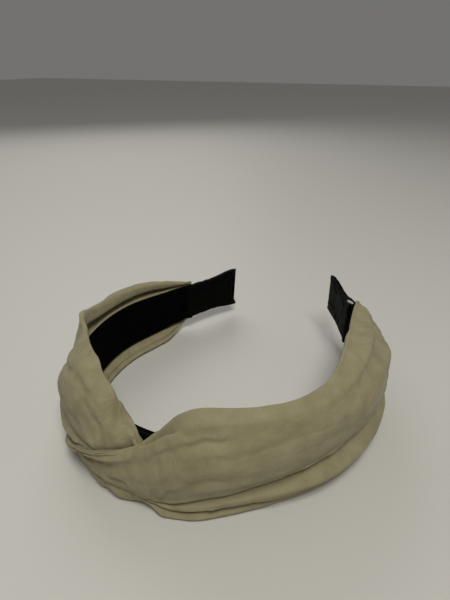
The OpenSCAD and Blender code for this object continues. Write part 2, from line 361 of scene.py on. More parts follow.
def ramp(nodes, links, factor, stops):
    """A colour that goes through stops of (position, colour) as factor goes from 0 to 1."""
    node = nodes.new("ShaderNodeValToRGB")
    while len(node.color_ramp.elements) < len(stops):
        node.color_ramp.elements.new(0.5)
    for element, (position, colour) in zip(node.color_ramp.elements, stops):
        element.position = position
        element.color = (*colour, 1)
    links.new(factor, node.inputs["Fac"])
    return node.outputs["Color"]


def bump(nodes, links, bsdf, height, distance, strength, after=None):
    """Relief of the surface, on top of the relief after; distance is in metres."""
    node = nodes.new("ShaderNodeBump")
    node.inputs["Distance"].default_value = distance
    node.inputs["Strength"].default_value = strength
    links.new(height, node.inputs["Height"])
    if after is not None:
        links.new(after, node.inputs["Normal"])
    links.new(node.outputs["Normal"], bsdf.inputs["Normal"])
    return node.outputs["Normal"]


def ribs(nodes, links, vector, axis, per_mm):
    """Height of ribs that follow each other along an axis of the cloth."""
    split = nodes.new("ShaderNodeSeparateXYZ")
    links.new(vector, split.inputs[0])
    turn = math_node(nodes, links, "MULTIPLY", split.outputs[axis], per_mm * 2 * math.pi)
    return math_node(nodes, links, "SINE", turn)


def weave(nodes, links, vector, threads):
    """Height of a plain weave, with that many threads to a millimetre."""
    return math_node(nodes, links, "MULTIPLY", ribs(nodes, links, vector, 0, threads),
                     ribs(nodes, links, vector, 1, threads))


COVER_COLOURS = [(0.30, (0.236, 0.207, 0.112)),
                 (0.50, (0.304, 0.269, 0.152)),
                 (0.72, (0.366, 0.330, 0.200))]


def cover_texture(nodes, links, bsdf):
    vector = cloth_vector(nodes)
    mottle = noise_factor(nodes, links, vector, 0.11, 6.0, 0.62)
    fine = noise_factor(nodes, links, vector, 1.6, 4.0, 0.6)
    mixed = math_node(nodes, links, "ADD", math_node(nodes, links, "MULTIPLY", mottle, 0.72),
                      math_node(nodes, links, "MULTIPLY", fine, 0.28))
    colour = ramp(nodes, links, mixed, COVER_COLOURS)
    links.new(colour, bsdf.inputs["Base Color"])
    threads = weave(nodes, links, vector, 1.9)
    nap = noise_factor(nodes, links, vector, 2.6, 3.0, 0.6)
    height = math_node(nodes, links, "ADD", math_node(nodes, links, "MULTIPLY", threads, 0.25), nap)
    first = bump(nodes, links, bsdf, height, 0.00012, 0.55)
    crumple = noise_factor(nodes, links, vector, 0.33, 4.0, 0.55)
    bump(nodes, links, bsdf, crumple, 0.0007, 0.5, after=first)


def satin_texture(nodes, links, bsdf):
    vector = cloth_vector(nodes)
    threads = weave(nodes, links, vector, 3.0)
    crease = noise_factor(nodes, links, vector, 0.45, 4.0, 0.5)
    # Painted shade: the satin is coloured darker where its crease relief is low, down in the creases.
    shade = ramp(nodes, links, crease, [(0.3, (0.0008, 0.001, 0.0009)), (0.7, (0.0028, 0.0032, 0.003))])
    links.new(shade, bsdf.inputs["Base Color"])
    first = bump(nodes, links, bsdf, threads, 0.00005, 0.3)
    bump(nodes, links, bsdf, crease, 0.0006, 0.55, after=first)


def ribbon_texture(nodes, links, bsdf):
    vector = cloth_vector(nodes)
    shade = noise_factor(nodes, links, vector, 0.2, 3.0)
    colour = ramp(nodes, links, shade, [(0.35, (0.0006, 0.0008, 0.0009)), (0.7, (0.0016, 0.002, 0.0022))])
    links.new(colour, bsdf.inputs["Base Color"])
    bump(nodes, links, bsdf, ribs(nodes, links, vector, 0, 2.2), 0.00006, 0.4)


def plastic_texture(nodes, links, bsdf):
    grain = noise_factor(nodes, links, object_vector(nodes), 900.0, 3.0)
    colour = ramp(nodes, links, grain, [(0.3, (0.024, 0.024, 0.026)), (0.7, (0.036, 0.036, 0.038))])
    links.new(colour, bsdf.inputs["Base Color"])
    bump(nodes, links, bsdf, grain, 0.00004, 0.4)


def thread_texture(nodes, links, bsdf):
    """The twist of a thread, as slanting bands of relief whose colour is painted shade, darker in the
    grooves.
    """
    wave = nodes.new("ShaderNodeTexWave")
    wave.inputs["Scale"].default_value = 900.0
    wave.bands_direction = "DIAGONAL"
    links.new(object_vector(nodes), wave.inputs["Vector"])
    twist = wave.outputs["Fac"]
    # Painted shade: the colour is darker where the twist's relief is low.
    colour = ramp(nodes, links, twist, [(0.2, (0.001, 0.001, 0.0012)), (0.8, (0.003, 0.003, 0.0034))])
    links.new(colour, bsdf.inputs["Base Color"])
    bump(nodes, links, bsdf, twist, 0.00006, 0.5)


def glue_texture(nodes, links, bsdf):
    cloud = noise_factor(nodes, links, object_vector(nodes), 500.0, 3.0)
    colour = ramp(nodes, links, cloud, [(0.3, (0.40, 0.38, 0.31)), (0.7, (0.52, 0.50, 0.44))])
    links.new(colour, bsdf.inputs["Base Color"])
    bump(nodes, links, bsdf, cloud, 0.0001, 0.5)


COVER = material("cover_fabric", (0.22, 0.20, 0.13), 0.88, cover_texture,
                 Sheen_Weight=0.10, Sheen_Roughness=0.5)
SATIN = material("black_satin", (0.002, 0.002, 0.002), 0.5, satin_texture, Specular_IOR_Level=0.025)
RIBBON = material("black_ribbon", (0.0012, 0.0012, 0.0014), 0.8, ribbon_texture, Specular_IOR_Level=0.02)
PLASTIC = material("band_plastic", (0.03, 0.03, 0.032), 0.45, plastic_texture)
BLACK_THREAD = material("black_thread", (0.004, 0.004, 0.0045), 0.7, thread_texture,
                        Specular_IOR_Level=0.04)
GLUE = material("hot_melt_glue", (0.65, 0.62, 0.53), 0.18, glue_texture, Coat_Weight=0.5)

# ---------------------------------------------------------------------------------------------
# Riding: pieces that cross a flex line keep their modelled shape; their transforms are baked into their
# meshes
# ---------------------------------------------------------------------------------------------

FLEX_STATION = 67.0      # station of each flex line
FLEX_REACH = 9.0         # stations to each side of it over which the band would bend
FLEX_OFFSET = 1.4        # about the middle of the plastic band's thickness


def side_of(sign):
    return "left" if sign < 0 else "right"


def follow(piece, sign):
    """Bakes piece's transform into its mesh. It works out where the band would bend on the side of sign,
    but does not bend the piece.
    """
    start = place(sign * (FLEX_STATION - FLEX_REACH), FLEX_OFFSET, LINING_Z0)
    end = place(sign * (FLEX_STATION + FLEX_REACH), FLEX_OFFSET, LINING_Z0)
    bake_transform(piece)


# ---------------------------------------------------------------------------------------------
# Band: plastic, satin wrap and ribbon lining, each in two lengths that meet at the apex
# ---------------------------------------------------------------------------------------------

wrap_low, wrap_high = node_box("satin_wrap_left")
WRAP_Z0, WRAP_Z1 = wrap_low[2], wrap_high[2]
WRAP_OUT = 2.55                 # offset of the satin wrap's outer face
WRAP_T = 0.35                   # its thickness
BAND_IN, BAND_OUT = 0.67, 2.1   # offsets of the plastic band's faces
CLEARANCE = 0.1                 # between the band's edges and the wrap
STRIP_ROWS = 170                # rows of points along half the band
STRIP_PITCH = 1.1               # length of cloth between two stations, for the weave


def rounded(o0, o1, z0, z1, radius, steps=4):
    """Corners of a rectangle with rounded edges, anticlockwise in offset and height."""
    centres = [(o1 - radius, z0 + radius, -90), (o1 - radius, z1 - radius, 0),
               (o0 + radius, z1 - radius, 90), (o0 + radius, z0 + radius, 180)]
    corners = []
    for o, z, start in centres:
        for k in range(steps + 1):
            angle = math.radians(start + 90 * k / steps)
            corners.append((o + radius * math.cos(angle), z + radius * math.sin(angle)))
    return corners


def lining_section():
    """Ribbon with a thin selvedge along both edges and a faintly domed middle."""
    dome, selvedge, selvedge_from = 0.06, 0.07, 9.6
    z = np.linspace(LINING_Z0, LINING_Z1, 13)
    o = -dome * np.sin(np.pi * (z - LINING_Z0) / (LINING_Z1 - LINING_Z0))
    o = o - selvedge * (np.abs(z - LINING_MIDDLE) > selvedge_from)
    return [(LINING_T, LINING_Z1), *zip(o[::-1], z[::-1]), (LINING_T, LINING_Z0)]


def wrap_section():
    """Satin turned round the plastic band, open on the side that the ribbon lining closes."""
    o0, o1, z0, z1, t = LINING_T + 0.02, WRAP_OUT, WRAP_Z0, WRAP_Z1, WRAP_T
    outer = [(o0, z0), (o1 - 0.5, z0), (o1 - 0.1, z0 + 0.15), (o1, z0 + 0.6),
             (o1, z1 - 0.6), (o1 - 0.1, z1 - 0.15), (o1 - 0.5, z1), (o0, z1)]
    return outer + [(o0, z1 - t), (o1 - t, z1 - t), (o1 - t, z0 + t), (o0, z0 + t)]


def plastic_section():
    edge = WRAP_T + CLEARANCE
    return rounded(BAND_IN, BAND_OUT, WRAP_Z0 + edge, WRAP_Z1 - edge, 0.4)


STRIPS = [("plastic_band", plastic_section(), PLASTIC, "band_plastic"),
          ("satin_wrap", wrap_section(), SATIN, "black_satin"),
          ("ribbon_lining", lining_section(), RIBBON, "black_ribbon")]


def band_half(name, sign, section, look):
    """A strip along one half of the band; section lists its corners as (offset, height)."""
    corners = np.array(section, float)
    stations = np.linspace(0, END_STATION, STRIP_ROWS)[:, None] * sign
    rings = place(stations, corners[:, 0], band_z(stations, corners[:, 1]))
    obj = tube(name, rings, look)
    around = np.cumsum(np.linalg.norm(np.diff(corners, axis=0, prepend=corners[:1]), axis=1))
    s, t = np.broadcast_arrays(np.abs(stations) * STRIP_PITCH, around)
    add_cloth_coordinates(obj, s, t)
    return obj


def make_band():
    for sign in (-1, 1):
        side = side_of(sign)
        for layer, section, look, slot_name in STRIPS:
            strip = band_half(f"{layer}_{side}_length", sign, section, look)
            follow(strip, sign)
            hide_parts(f"{layer}_{side}", f"{layer}_crown")


# ---------------------------------------------------------------------------------------------
# Fabric cover. Each table gives one line of the folded cloth along the stations, as (station, value):
# heights end in _z and offsets in _o. The lines go from the top edge down over the outer face and in
# under the band.
# ---------------------------------------------------------------------------------------------

CLOTH_T = 0.7              # thickness of the sheet
CLOTH_SPACING = 0.65       # between the points across the cloth
CLEAR_OF_WRAP = 3.4        # the tucks stay this far out, to clear the satin wrap
KNOT_STATION = -9.0        # station that the creases gather towards
SLIT_STATION = 3.0         # station where the folds below the crossing start
LOWEST = 0.05              # the cloth stays this far above the surface that it lies on

# The right half: its upper edge (top), the long crease below that (crease), how far the broad panel
# stands out (bulge), the panel's folded lower edge (fold), the next ply's middle (belly) and lower edge
# (pleat), the lowest line (bottom), the ply turned under the band (under) and the hidden edges (inner)
RIGHT = {
    "top_z": [(-40, 8.4), (-35, 9.8), (-30, 12.2), (-23, 16.8), (-18, 20), (-14.5, 22.4), (-10, 25),
              (-6, 27), (-2, 28.6), (1.2, 31.4), (5, 36.6), (10, 42.4), (15, 45.8), (19, 47),
              (26, 47.8), (46, 48.2), (67, 48), (98, 46.4), (120, 43.4), (132, 41.6), (143, 38.2)],
    "top_o": [(-40, 9.0), (-37, 10.6), (-33, 12.2), (-28, 12.6), (-23, 12.5), (-14, 12.2), (-10, 11.2),
              (-6, 9.2), (-3, 6.4), (0, 3.2), (2, 2), (6, 1.2), (17, 1), (31, 1.6), (46, 1.2),
              (60, -1.6), (73, -6), (84, -8.6), (98, -9.4), (111, -6.8), (120, -4.2), (132, 0.2),
              (143, 4.6)],
    "crease_z": [(-40, 8), (-6, 26.4), (-2, 28.8), (2, 31.2), (6, 34.8), (9.5, 38.2), (12, 41.4),
                 (17, 43)],
    "crease_o": [(-40, 12), (-6, 9), (-2, 6.8), (2, 6.2), (6, 6), (9.5, 6.2), (12, 6.4), (17, 6)],
    "bulge": [(-40, 9.4), (-37, 11), (-33, 12.6), (-28, 13), (-13, 13.5), (0, 12.6), (10, 12.2),
              (20, 11.4), (45, 9.6), (67, 8.4), (90, 9), (100, 10.4), (113, 12.2), (128, 12), (137, 10),
              (143, 7.4)],
    "fold_z": [(-40, 5.6), (-22, 7.6), (-13, 9.2), (-6, 8.6), (0, 7.6), (4, 6.9), (8, 7.6), (14, 10),
               (21, 11.9), (28, 13.6), (36, 15.4), (50, 17.6), (63, 19.6), (80, 20.4), (94, 19.4),
               (107, 17.4), (125, 18.5), (143, 21.5)],
    "fold_o": [(-40, 9.0), (-37, 10.4), (-33, 11.8), (-13, 12.7), (0, 10.4), (8, 9.8), (14, 8.9),
               (21, 7.8), (28, 6.8), (36, 5.9), (50, 5.4), (63, 5.5), (80, 6.7), (94, 8.6), (107, 11.4),
               (125, 10.4), (143, 6.4)],
    "pleat_z": [(-40, 5.4), (-22, 7), (-13, 8.2), (-6, 6.9), (0, 5.6), (4, 4.6), (8, 3.7), (14, 4.2),
                (20, 4.8), (26, 5.6), (34, 6.2), (44, 6.2), (52, 5.6), (60, 4.6), (70, 4.4), (94, 6.2),
                (107, 7), (125, 11), (143, 17.4)],
    "belly_o": [(-40, 9), (-33, 11.2), (-13, 11.6), (0, 10.2), (8, 9.5), (14, 8.8), (24, 7.4),
                (34, 6.6), (44, 7.2), (54, 8), (67, 8.4), (80, 8.8), (94, 10), (107, 11.8), (118, 11.6),
                (128, 10), (143, 5.9)],
    "pleat_o": [(-40, 8.8), (-35, 10.2), (-5, 10), (4, 9.4), (10, 9), (16, 8.6), (24, 7), (34, 5.4),
                (44, 5), (52, 4.8), (67, 5), (80, 5.8), (94, 8), (107, 10), (125, 8.8), (143, 5.6)],
    "bottom_z": [(-40, 5.2), (-22, 6.5), (-13, 7.2), (-6, 5.8), (0, 3.6), (4, 1.6), (8, 0.4),
                 (100, 0.4), (112, 1.2), (125, 5.2), (143, 16)],
    "bottom_o": [(-40, 8.6), (-35, 9.6), (-5, 9.4), (2, 9.4), (6, 10.4), (12, 9.8), (17, 8.8),
                 (24, 6.6), (33, 4.4), (45, 2.8), (67, 2.6), (85, 3.6), (95, 5.4), (109, 8.2), (125, 7),
                 (143, 4.8)],
    "under_o": [(-40, 8.4), (-35, 9.4), (-2, 8.4), (5, 4), (14, -2.3), (67, -3.4), (100, -3), (125, 0),
                (137, 3.6), (143, 3.8)],
    "inner_o": [(-40, 8.4), (-35, 9.5), (-10, 9.4), (-3, 6), (4, 3.2), (132, 3.1), (137, 3.7),
                (143, 3.7)],
}


def stack_points(u, points):
    """Grid (stations, points, 2) from points of (offsets, heights)."""
    return np.stack([np.stack(np.broadcast_arrays(o, z, u)[:2], -1) for o, z in points], 1)


def right_section(u):
    """Control points of the right half at stations u, from its hidden top edge to its hidden lower edge."""
    g = {key: table(u, points) for key, points in RIGHT.items()}
    zt, ot, oo = g["top_z"], g["top_o"], g["bulge"]
    zf, of, zp, op = g["fold_z"], g["fold_o"], g["pleat_z"], g["pleat_o"]
    zb, ob, ou, oi, belly = g["bottom_z"], g["bottom_o"], g["under_o"], g["inner_o"], g["belly_o"]
    h = zt - zf
    oc, zc = g["crease_o"], g["crease_z"]
    shoulder = (ot + oo) / 2
    wide = ease((u + 3) / 12)                                  # from the ply over the knot to the panel
    creased = ease((u + 4) / 3.5) * (1 - ease((u - 7.5) / 7))  # 1 where the long crease starts
    second = wide * (1 - ease((u - 48) / 16))                  # how deep the second fold's tuck is
    lip = np.minimum(zt - mix(1.2, 2.2, wide), band_z(u, LINING_Z1) + 0.9)
    foot = np.maximum(np.minimum(band_z(u, LINING_Z0) - 0.9, zt - 3), zb + 0.8)
    foot = np.where(u < 4, np.minimum(foot, zb + 2), foot)     # keeps the ply over the knot narrow
    return stack_points(u, [
        (oi, lip),
        (mix(oi, ot, 0.35) + 0.1, mix(lip, zt, 0.35)),
        (ot - 0.15, mix(zt, lip, 0.25)),
        (ot + 0.15, zt - 0.3),
        (ot + 0.9, zt),
        (mix(ot + 2.2, mix(ot, oc, 0.5), creased), zt - mix(0.6, 0.5, creased)),
        (mix(shoulder + 0.7, oc - 0.5, creased), mix(zt - h * 0.07, zc - 1.9, creased)),
        (mix(shoulder + 1.9, oc + 1.1, creased), mix(zt - h * 0.16, zc + 0.4, creased)),
        (mix(oo - 1.0, oc + 2.9, creased), mix(zt - h * 0.34, zc - 2.2, creased)),
        (oo, zf + h * 0.45),
        (mix(oo, of, 0.35), zf + h * 0.19),
        (of + 0.4, zf + h * 0.06 + 0.2),
        (of + 0.1, zf + 0.1),
        (of - 0.8, zf - 0.2),
        (np.maximum(of - 1.0 - 2.2 * wide, CLEAR_OF_WRAP), zf + 1.3 * wide),
        (np.maximum(mix(mix(op, of, 0.6), of, wide) - 2.4 * wide, CLEAR_OF_WRAP), mix(zp, zf, 0.84)),
        (belly, mix(zp, zf, 0.42)),
        (op + 0.45, zp + 0.55),
        (op - 0.3 * second, zp - 0.1 * second),
        (op - 3.0 * second, zp + 0.9 * second),
        (mix(op, ob, 0.4) - 1.6 * second, mix(zp, zb, 0.22)),
        (ob + 0.7, mix(zb, zp, 0.42)),
        (ob - 0.2, zb + 0.05),
        (mix(ob, ou, 0.5), zb - 0.05),
        (ou + 0.5, zb + 0.5),
        (ou, zb + 2.0),
        (mix(ou, oi, 0.45), np.maximum(foot - 1.0, zb + 0.9)),
        (oi, foot),
    ])


# The left half: its upper edge (top), how far the strip below that stands out (bulge), the strip's lower
# edge (edge), the plies under it (pleat, ply, under_ply), the lobe at the bottom of the knot (lobe), the
# lowest line (bottom), the ply turned under the band (under) and the hidden edges (inner). Three more
# lines shape the strip: slant is 1 where it leans instead of hanging upright, slope is how far out it
# then goes for each millimetre down, and hollow is 1 where the fold stands open behind it.
LEFT = {
    "top_z": [(-143, 30.4), (-139, 31.6), (-130, 35), (-120, 38.6), (-109, 40.4), (-100, 40.4),
              (-88, 40.2), (-80, 41.4), (-74, 43.6), (-69, 45), (-57, 45.4), (-33, 45.8), (-24, 44.2),
              (-17, 42.2), (-13.4, 38.3), (-12, 34.8), (-10.6, 32), (-9.4, 31.4), (-7.2, 31.1),
              (-5.2, 30.3), (-3.9, 28.4), (-2.4, 26.6), (2, 25)],
    "top_o": [(-143, 2.8), (-135, 1.2), (-118, 1.2), (-100, 1.8), (-84, 2.4), (-74, 2.6), (-66, 0.6),
              (-57, -2.6), (-33, -3.4), (-24, -1.8), (-17, -0.4), (-12, 0.2), (-10.8, 0), (-9.4, 0.5),
              (-7.2, 1.7), (-5.2, 2.9), (-3.9, 3.6), (-2.4, 4.6), (2, 5.4)],
    "slant": [(-143, 0), (-100, 0), (-86, 0.8), (-76, 1), (-56, 1), (-46, 0.4), (-38, 0), (2, 0)],
    "slope": [(-143, 0.9), (-95, 0.8), (-85, 0.6), (-76, 0.44), (-70, 0.36), (-63, 0.46), (-52, 0.66),
              (-44, 0.85), (2, 0.9)],
    "hollow": [(-143, 0), (-134, 0.25), (-124, 1), (-84, 1), (-70, 0.5), (-58, 0.1), (2, 0)],
    "bulge": [(-143, 5), (-136, 8.4), (-125, 11.4), (-115, 12.2), (-95, 11.4), (-80, 9.8), (-72, 9.6),
              (-63, 10.8), (-52, 12.4), (-42, 12.2), (-34, 11.8), (-24, 11.6), (-17, 10.8), (-12, 9.2),
              (-8, 7.4), (-4, 5.6), (2, 5)],
    "edge_z": [(-143, 22), (-66, 21), (-52, 19.8), (-44, 19.4), (-40, 20.2), (-36, 22), (-32, 23.2),
               (-28, 22.9), (-24, 22.1), (-19, 21.8), (-15, 21.7), (-12, 23.2), (-9, 24.6), (-4, 26),
               (2, 24)],
    "edge_o": [(-143, 5.2), (-136, 8.2), (-125, 11), (-95, 11.4), (-72, 10.4), (-60, 11.6), (-50, 12.6),
               (-42, 12.3), (-32, 12.1), (-24, 12.1), (-19, 12.1), (-15, 11.6), (-12, 10), (-9, 8),
               (-5, 6), (2, 5.6)],
    "pleat_z": [(-143, 16), (-66, 14), (-50, 13.2), (-42, 12.8), (-38, 12.6), (-34, 13.6), (-30, 14.2),
                (-26, 15.8), (-22, 17.6), (-18, 19.6), (-15, 20.8), (-12, 21.8), (-9, 22), (2, 20)],
    "pleat_o": [(-143, 4.9), (-125, 10.6), (-95, 10.4), (-67, 10), (-50, 12.9), (-42, 13.4),
                (-36, 13.6), (-30, 13.3), (-25, 12.8), (-20, 12.2), (-15, 11.4), (-12, 9.8), (-9, 7.8),
                (-5, 6), (2, 5.4)],
    "ply_z": [(-143, 12), (-66, 9), (-50, 8), (-39, 7.6), (-30, 11.6), (-23, 16), (-18, 19),
              (-14, 21.4), (-9, 21), (2, 18)],
    "under_ply_o": [(-143, 4.8), (-125, 9.8), (-95, 9.6), (-67, 9), (-48, 11.4), (-41, 11), (-37, 9),
                    (-10, 8.6), (-3, 5.8), (2, 5)],
    "lobe_z": [(-143, 9.4), (-67, 5), (-45, 4.4), (-38, 3), (-28, 3.6), (-20, 5), (-12, 6.6), (-5, 6.2),
               (0, 5), (2, 4.4)],
    "lobe_o": [(-143, 4.4), (-125, 8), (-67, 8), (-45, 10.2), (-36, 11), (-28, 11.2), (-20, 11.8),
               (-12, 11.6), (-6, 10.8), (-1, 8.8), (2, 6)],
    "bottom_z": [(-143, 7), (-137, 4.2), (-130, 1.6), (-122, 0.4), (2, 0.4)],
    "bottom_o": [(-143, 3.9), (-130, 5.5), (-100, 6), (-67, 5.4), (-45, 7.4), (-20, 9), (-10, 8.4),
                 (-1, 6.4), (2, 5)],
    "under_o": [(-143, 3.3), (-137, 2), (-131, -0.4), (-120, -3.9), (-98, -4.6), (-67, -3.6), (-20, -3),
                (-8, 1), (2, 4)],
    "inner_o": [(-143, 3.6), (-137, 3.6), (-132, 3.0), (-3, 3.1), (2, 3.8)],
}


def left_section(u):
    """Control points of the left half at stations u, from its hidden top edge to its hidden lower edge."""
    g = {key: table(u, points) for key, points in LEFT.items()}
    zt, ot, oo, deep = g["top_z"], g["top_o"], g["bulge"], g["hollow"]
    ze, eo, zp, po = g["edge_z"], g["edge_o"], g["pleat_z"], g["pleat_o"]
    zg, og, zl, ol = g["ply_z"], g["under_ply_o"], g["lobe_z"], g["lobe_o"]
    zb, ob, ou, oi = g["bottom_z"], g["bottom_o"], g["under_o"], g["inner_o"]
    step = ease((u + 66) / 24) * (1 - ease((u + 15) / 5))      # how far the edge stands over the pleats
    lip = np.minimum(zt - 1.4, band_z(u, LINING_Z1) + 0.8)
    foot = np.maximum(np.minimum(band_z(u, LINING_Z0) - 0.9, zt - 2.5), zb + 0.8)
    room = zt - lip
    h = zt - ze

    def strip(share, o):
        """Offset of the strip a share of its height down, where o is its offset when it hangs upright."""
        return mix(o, np.minimum(ot + 1.0 + g["slope"] * h * share, o), g["slant"])

    return stack_points(u, [
        (oi, lip),
        (mix(oi, mix(2.2, 1.0, deep), 0.8), lip + room * 0.05),
        (mix(mix(oi, ot, 0.4), 5.2, deep), lip + room * mix(0.22, 0.10, deep)),
        (mix(mix(oi, ot, 0.55), 7.4, deep), lip + room * mix(0.36, 0.24, deep)),
        (mix(mix(oi, ot, 0.7), 3.6, deep), lip + room * mix(0.55, 0.36, deep)),
        (mix(mix(oi, ot, 0.85), 1.4, deep), lip + room * mix(0.70, 0.50, deep)),
        (mix(ot - 0.1, ot - 0.6, deep), zt - room * 0.16),
        (ot + 0.25, zt - 0.35),
        (ot + 1.0, zt),
        (ot + 2.2, zt - 0.45),
        (strip(0.11, mix(ot, oo, 0.5) + 1.0), zt - h * 0.11),
        (strip(0.34, mix(ot, oo, 0.84) + 0.3), zt - h * 0.34),
        (strip(0.64, oo), zt - h * 0.64),
        (strip(0.90, eo + 0.15), ze + h * 0.10 + 0.4),
        (eo + 0.1, ze + 0.1),
        (eo - 0.8 * step, ze - 0.3),
        (eo - 2.0 * step, ze - mix(0.9, 0.1, step)),
        (mix(eo, po, 0.5) - 1.7 * step, mix(zp, ze, 0.62)),
        (po + 0.15, mix(zp, ze, 0.16)),
        (po - 0.6 * step, zp - 0.35),
        (po - 1.7 * step, mix(zg, zp, 0.72)),
        (mix(po, og, 0.35), mix(zg, zp, 0.22)),
        (og + 0.4, zg - 0.6),
        (og, mix(zl, zg, 0.45)),
        (mix(og, ol, 0.6), mix(zl, zg, 0.16) + 0.3),
        (ol, zl),
        (ol - 0.2, mix(zb, zl, 0.42)),
        (ob + 0.5, zb + 0.15),
        (mix(ob, ou, 0.5), zb - 0.05),
        (ou + 0.6, zb + 0.5),
        (ou, zb + 1.6),
        (mix(ou, oi, 0.12) + 0.5, zb + 2.5),
        (mix(ou, oi, 0.30) - 0.4, mix(zb + 2.6, foot, 0.45)),
        (mix(ou, oi, 0.62), np.maximum(foot - 0.9, zb + 0.7)),
        (oi, foot),
    ])


# Creases: (stations and heights along the line, depth in millimetres, half width, step down below the line)
RIGHT_CREASES = [
    ([(-3, 21), (0, 24), (4.5, 29.4), (9, 33.4), (14, 36.8), (19.5, 39), (30, 40.4)], 0.6, 1.0, 0.6),
    ([(14, 33), (26, 34), (38, 37), (48, 41)], 0.30, 1.6, 0.25),
    ([(-10, 14), (0, 17), (10, 21), (22, 24), (34, 24.5)], 0.28, 1.8, 0.2),
    ([(-12, 20), (-4, 23.5), (4, 27), (12, 30)], 0.35, 1.3, 0.3),
    ([(40, 30), (54, 32), (68, 31.5), (80, 34)], 0.25, 2.0, 0.15),
    ([(62, 24), (76, 27), (92, 26.5), (104, 24)], 0.40, 1.8, 0.3),
    ([(88, 34), (100, 31), (113, 29.5), (126, 30)], 0.40, 1.8, 0.2),
    ([(108, 38), (118, 34.5), (130, 33), (141, 32)], 0.35, 1.5, 0.2),
    ([(112, 24), (124, 25.5), (135, 26), (142, 26.5)], 0.45, 1.4, 0.3),
    ([(-12, 11.6), (-7, 12.4), (-3, 11.6)], 0.7, 1.1, 0.4),
    ([(-26, 12), (-18, 14.5), (-10, 15.5)], 0.35, 1.2, 0.2),
]
LEFT_CREASES = [
    ([(-68, 30), (-58, 33), (-50, 35.5), (-42, 38.6), (-36, 41), (-30.5, 41.8), (-27, 40.6), (-23.5, 40.2),
      (-20, 39.6), (-13, 36.6)], 1.0, 1.4, -0.4),
    ([(-44, 31), (-34, 28.6), (-26, 28), (-20, 26.8)], 0.45, 1.6, 0.3),
    ([(-30, 40), (-22, 37), (-16, 33), (-12, 28.6)], 0.40, 1.3, 0.2),
    ([(-66, 32), (-56, 28), (-47, 25), (-38, 23.5)], 0.6, 1.8, 0.3),
    ([(-140, 26), (-128, 30), (-114, 31.5), (-98, 31)], 0.6, 1.8, 0.3),
    ([(-141, 20), (-130, 18), (-116, 17.5), (-100, 19)], 0.5, 1.8, 0.3),
    ([(-96, 26), (-84, 24), (-72, 26)], 0.5, 2.0, 0.3),
    ([(-88, 13), (-74, 14.5), (-60, 13)], 0.45, 1.8, 0.3),
    ([(-12, 4.6), (-8, 5.4), (-4, 5)], 0.5, 0.9, 0.3),
]


def crease_depth(u, z, lines):
    """How far creases push the outer face in, at stations u and heights z."""
    total = np.zeros_like(z)
    for points, depth, width, step in lines:
        first, last = points[0][0], points[-1][0]
        reach = (last - first) * 0.22
        fade = ease((u - first) / reach) * ease((last - u) / reach)
        wave = 0.35 * width * np.sin(u * 0.9 + first)
        d = (table(u, points) - z + wave) / width
        valley = depth * np.exp(-d * d)
        ledge = step * ease((d + 0.6) / 1.2) * np.exp(-np.maximum(d, 0) / 4.5)
        ridge = -0.35 * depth * np.exp(-((d + 1.9) / 1.1) ** 2)
        total += fade * (valley + ledge + ridge)
    return total


def crumple(grid, seed, knot_s, u, calm):
    """Moves the cloth along its normals: soft undulations, creases that run into the knot, wrinkles.

    Each noise has s and t, along and across the cloth, divided by the size of its lumps in millimetres,
    and is multiplied by their height.
    """
    s, t = lengths(grid)
    s = s - knot_s
    from_edge = np.minimum(t, t[:, -1:] - t)
    from_end = np.minimum(s - s[:1], s[-1:] - s)
    near = np.exp(-(np.abs(u)[:, None] / 26.0) ** 2)
    ends = ease((np.abs(u)[:, None] - 128) / 18)
    soft = soft_noise(s / 21, t / 12, seed) * 0.5
    long_creases = soft_noise(s / 28 + 9, t / 4.2, seed + 1) * (0.20 + 0.40 * near + 0.4 * ends)
    sharp = 1 - np.abs(soft_noise(s / 12 + t / 17, t / 5.4 - s / 31, seed + 4)) * 2.6
    sharp = np.maximum(sharp, 0) * 0.18 * ease((from_edge - 20) / 8)
    fine = soft_noise(s / 5.0, t / 3.6, seed + 2) * 0.09 + soft_noise(s / 2.2, t / 1.9, seed + 3) * 0.035
    height = (soft + long_creases + fine + sharp) * ease(from_edge / 7.0) * ease(from_end / 7.0) * calm
    return grid + grid_normals(grid) * (height * MM)[..., None]


def cover_half(name, stations, section, creases, seed, outer):
    """One half of the cover as a sheet; outer is the span of control points that face outward."""
    rings, column = spline(section(stations), CLOTH_SPACING)
    u = stations[:, None]
    grid = place(u, rings[..., 0], rings[..., 1])
    on_face = ease((column - outer[0]) / 1.2) * ease((outer[1] - column) / 1.2)
    away = grid_normals(grid)
    _, outward_xy = plan(stations)
    outwardness = (away[..., :2] * outward_xy[:, None, :]).sum(-1) * on_face
    facing = float(np.sign(outwardness.sum()))      # 1 if the grid's normals point outward, else -1
    depth = crease_depth(u * np.ones_like(rings[..., 1]), rings[..., 1], creases) * on_face
    grid = grid - away * (facing * depth * MM)[..., None]
    s, _ = lengths(grid)
    knot_s = float(np.interp(KNOT_STATION, stations, s[:, 0]))
    # Fewer wrinkles where the folds below the crossing start
    calm = 1 - 0.8 * np.exp(-((u - SLIT_STATION) / 7) ** 2) * ease(column - outer[1] + 1)
    grid = crumple(grid, seed, knot_s, stations - KNOT_STATION, calm)
    grid[..., 2] = np.maximum(grid[..., 2], LOWEST * MM)
    if facing < 0:
        grid = grid[:, ::-1]
    piece = outward(cloth_sheet(name, grid, CLOTH_T, COVER))
    return piece


def make_covers():
    right = cover_half("right_cover", np.linspace(-40, COVER_END, 240), right_section, RIGHT_CREASES,
                       seed=11, outer=(5.5, 12.5))
    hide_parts("right_cover_knot_half", "right_cover_arm")
    follow(right, 1)
    left = cover_half("left_cover", np.linspace(-COVER_END, 4.5, 220), left_section, LEFT_CREASES,
                      seed=23, outer=(9.5, 21.5))
    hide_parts("left_cover_knot_half", "left_cover_arm")
    follow(left, -1)
